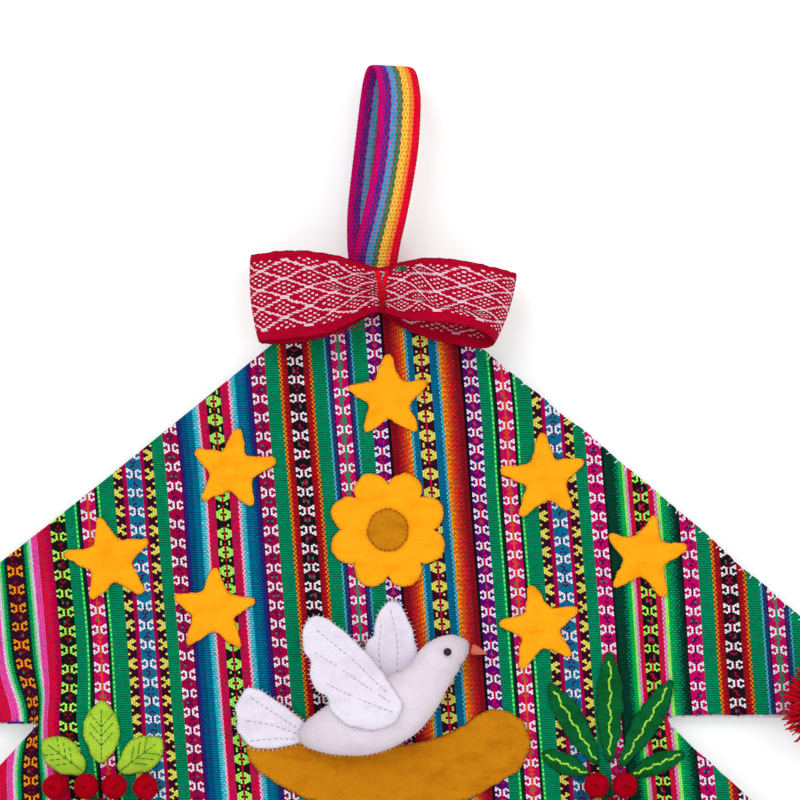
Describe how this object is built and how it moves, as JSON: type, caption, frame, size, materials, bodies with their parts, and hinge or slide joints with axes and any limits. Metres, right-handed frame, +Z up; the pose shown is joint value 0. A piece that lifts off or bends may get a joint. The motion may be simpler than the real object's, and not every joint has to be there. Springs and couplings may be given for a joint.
{
  "type": "woven wall hanging",
  "caption": "Fir-tree-shaped hanging of striped hand-woven cloth with a strap loop, ribbon bow, stitched felt pieces, a stuffed bird and yarn pompoms.",
  "frame": {"origin": "the point inside the top of the strap loop that rests on the nail", "axes": "+Z up, +X to the right seen from the front, the front faces -Y and the wall is behind at +Y"},
  "size_m": [0.633, 0.0426, 0.53],
  "materials": {
    "striped_cloth": "warp-patterned hand-woven cloth in many-coloured stripes",
    "white_cloth": "plain white cotton",
    "strap_webbing": "rainbow-striped woven strap",
    "patterned_ribbon": "crimson ribbon with a woven white diamond pattern",
    "red_thread": "wound red thread",
    "gold_felt": "wool felt",
    "ochre_felt": "wool felt",
    "white_felt": "wool felt",
    "salmon_felt": "wool felt",
    "black_bead": "glossy bead",
    "lime_felt": "wool felt",
    "green_felt": "wool felt",
    "red_wool": "felted wool",
    "red_yarn": "cut wool yarn"
  },
  "bodies": {
    "root": {"panel": "striped_cloth", "backing": "white_cloth", "strap_loop": "strap_webbing", "bow_ribbon": "patterned_ribbon", "bow_binding": "red_thread", "star_1": "gold_felt", "star_2": "gold_felt", "star_3": "gold_felt", "star_4": "gold_felt", "star_5": "gold_felt", "star_6": "gold_felt", "star_7": "gold_felt", "flower": "gold_felt", "flower_heart": "ochre_felt", "swag": "ochre_felt", "bird_body": "white_felt", "bird_wing_near": "white_felt", "bird_wing_far": "white_felt", "bird_tail": "white_felt", "bird_bill": "salmon_felt", "bird_eye": "black_bead", "round_leaf_1": "lime_felt", "round_leaf_2": "lime_felt", "round_leaf_3": "lime_felt", "long_leaf_1": "green_felt", "long_leaf_2": "green_felt", "long_leaf_3": "green_felt", "long_leaf_4": "green_felt", "long_leaf_5": "green_felt", "ball_1": "red_wool", "ball_2": "red_wool", "ball_3": "red_wool", "ball_4": "red_wool", "ball_5": "red_wool", "ball_6": "red_wool", "ball_7": "red_wool", "ball_8": "red_wool", "ball_9": "red_wool", "ball_10": "red_wool", "pompom_left": "red_yarn", "pompom_right": "red_yarn"}
  },
  "joints": []
}
